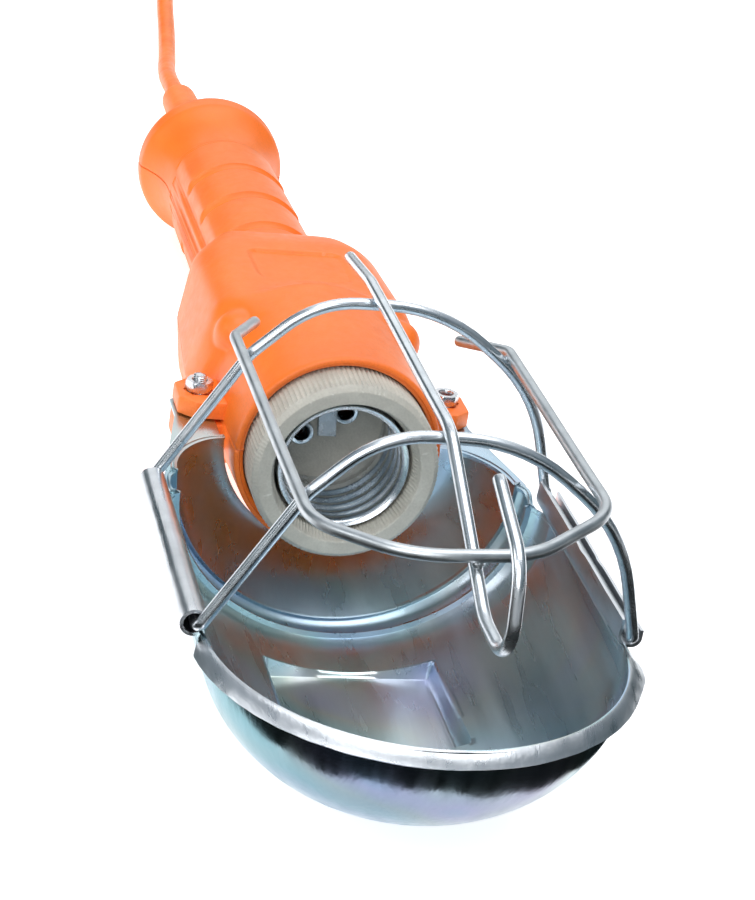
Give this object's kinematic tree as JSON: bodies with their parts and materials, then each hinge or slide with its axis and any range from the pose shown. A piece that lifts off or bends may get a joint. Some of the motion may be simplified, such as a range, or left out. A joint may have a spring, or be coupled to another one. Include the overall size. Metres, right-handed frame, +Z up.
{
  "type": "work light",
  "caption": "Hand-held inspection lamp with an orange two-part plastic handle, porcelain screw lampholder, pressed steel reflector and hinged wire guard with a hanging hook.",
  "frame": {"origin": "on the floor under the middle of the lamp's box, measured without the free cord", "axes": "+Z up as the lamp lies, +X towards the hook end along the lamp, +Y to the latch side of the guard"},
  "size_m": [0.6254, 0.1336, 0.0958],
  "materials": {
    "housing": "satin moulded orange plastic",
    "screws": "zinc-plated steel",
    "zinc": "bright zinc plate",
    "porcelain": "matt unglazed porcelain",
    "shell_metal": "bright plated sheet",
    "brass": "plain brass",
    "lead_brown": "PVC insulation",
    "lead_blue": "PVC insulation",
    "clamp_plastic": "plain nylon",
    "gland": "soft PVC",
    "cord": "soft PVC sheath",
    "reflector_steel": "zinc-plated pressed sheet",
    "guard_wire": "zinc-plated drawn wire",
    "tie": "black nylon",
    "plug": "moulded PVC",
    "pins": "nickel-plated brass"
  },
  "bodies": {
    "lamp": {"housing_upper": "housing", "housing_lower": "housing", "housing_screws": "screws", "ear_screws": "zinc", "ear_nuts": "zinc", "ear_washers": "zinc", "holder_body": "porcelain", "screw_shell": "shell_metal", "shell_rivets": "zinc", "contact_foot": "brass", "terminal_blocks": "brass", "terminal_screws": "screws", "lead_live": "lead_brown", "lead_neutral": "lead_blue", "cord_clamp": "clamp_plastic", "clamp_screws": "screws", "cord_gland": "gland", "cord_inner": "cord", "reflector": "reflector_steel", "cord_run": "cord", "cord_coil": "cord", "cord_tail": "cord", "coil_tie": "tie", "plug_body": "plug", "plug_pins": "pins"},
    "guard": {"guard_hinge_rod": "guard_wire", "guard_latch_rod": "guard_wire", "guard_rear_hoop": "guard_wire", "guard_front_hoop": "guard_wire", "guard_bow": "guard_wire", "guard_hook": "guard_wire"},
    "contact": {"centre_contact": "brass"}
  },
  "joints": [
    {"name": "guard_hinge", "type": "hinge", "parent": "lamp", "child": "guard", "pos_m": [0.10633, -0.0432, 0.03994], "axis": [0.9967, 0, 0.0813], "range_deg": [0, 150]},
    {"name": "contact_press", "type": "hinge", "parent": "lamp", "child": "contact", "pos_m": [0.04246, 0, 0.04055], "axis": [0, 1, 0], "range_deg": [0, 9], "stiffness_Nm_per_rad": 0.1}
  ]
}
